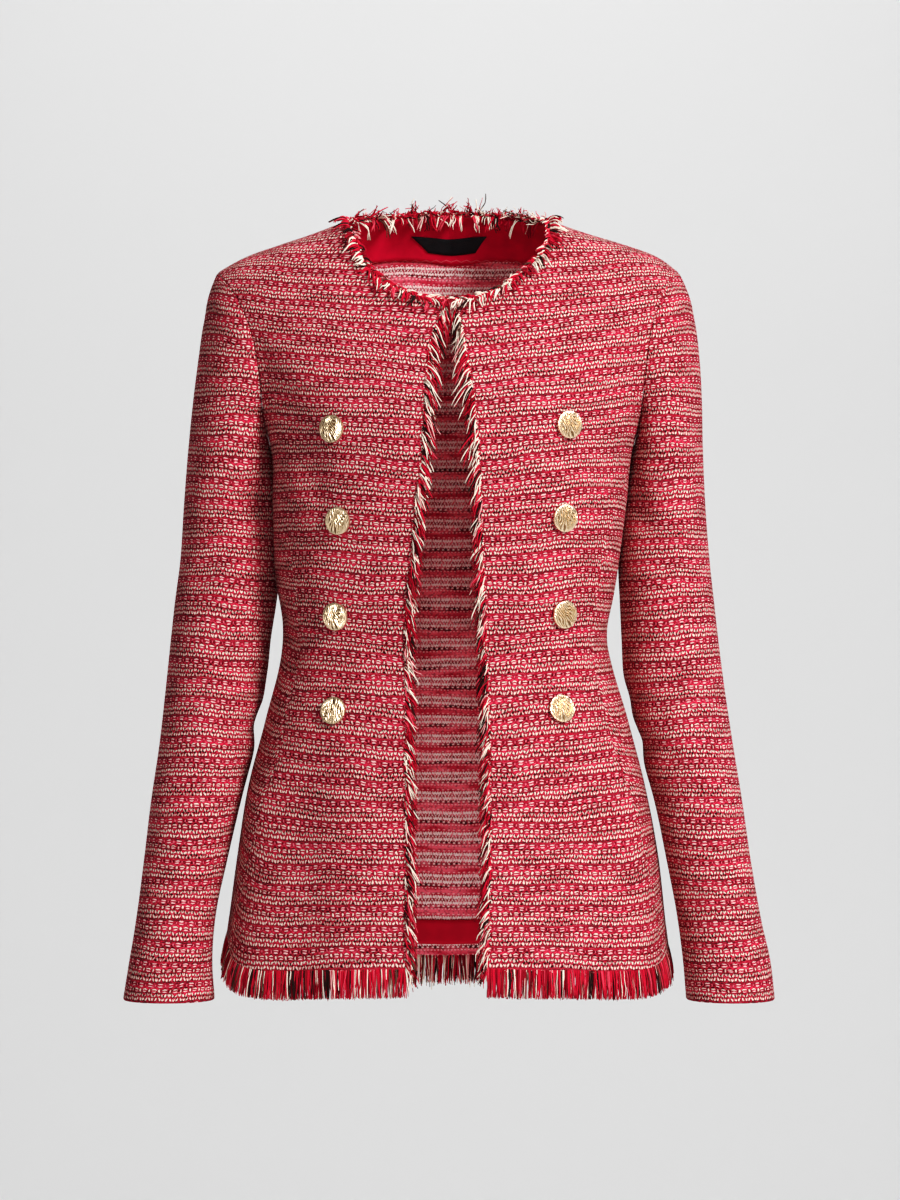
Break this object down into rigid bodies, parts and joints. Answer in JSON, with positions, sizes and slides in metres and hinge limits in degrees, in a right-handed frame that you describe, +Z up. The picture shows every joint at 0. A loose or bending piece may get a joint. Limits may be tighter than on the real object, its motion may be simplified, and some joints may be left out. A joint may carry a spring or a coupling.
{
  "type": "hip-length tweed jacket, worn hollow",
  "caption": "Collarless fitted jacket of bouclé knit tweed with long sleeves, worn open, with fringed neck, front edges and hem and domed metal buttons.",
  "frame": {"origin": "middle of the neck opening, level with the tops of the shoulder seams, where the wearer's shoulders carry the jacket", "axes": "+Z up, the front faces -Y, +X is the wearer's left"},
  "size_m": [0.555, 0.2717, 0.6876],
  "materials": {
    "tweed": "matt knitted tweed in red, rose, cream and near black",
    "facing": "plain red woven cloth",
    "label": "black satin weave",
    "fringe": "loose yarn ends",
    "buttons": "pale gold plate, bark texture"
  },
  "bodies": {
    "root": {"back": "tweed", "front_right": "tweed", "front_left": "tweed", "sleeve_right": "tweed", "sleeve_left": "tweed", "neck_facing": "facing", "hem_facing": "facing", "label": "label", "neck_fringe": "fringe", "edge_fringe_right": "fringe", "edge_fringe_left": "fringe", "hem_fringe_right": "fringe", "hem_fringe_left": "fringe", "hem_fringe_back": "fringe", "button_right_1": "buttons", "button_right_2": "buttons", "button_right_3": "buttons", "button_right_4": "buttons", "button_left_1": "buttons", "button_left_2": "buttons", "button_left_3": "buttons", "button_left_4": "buttons"}
  },
  "joints": []
}
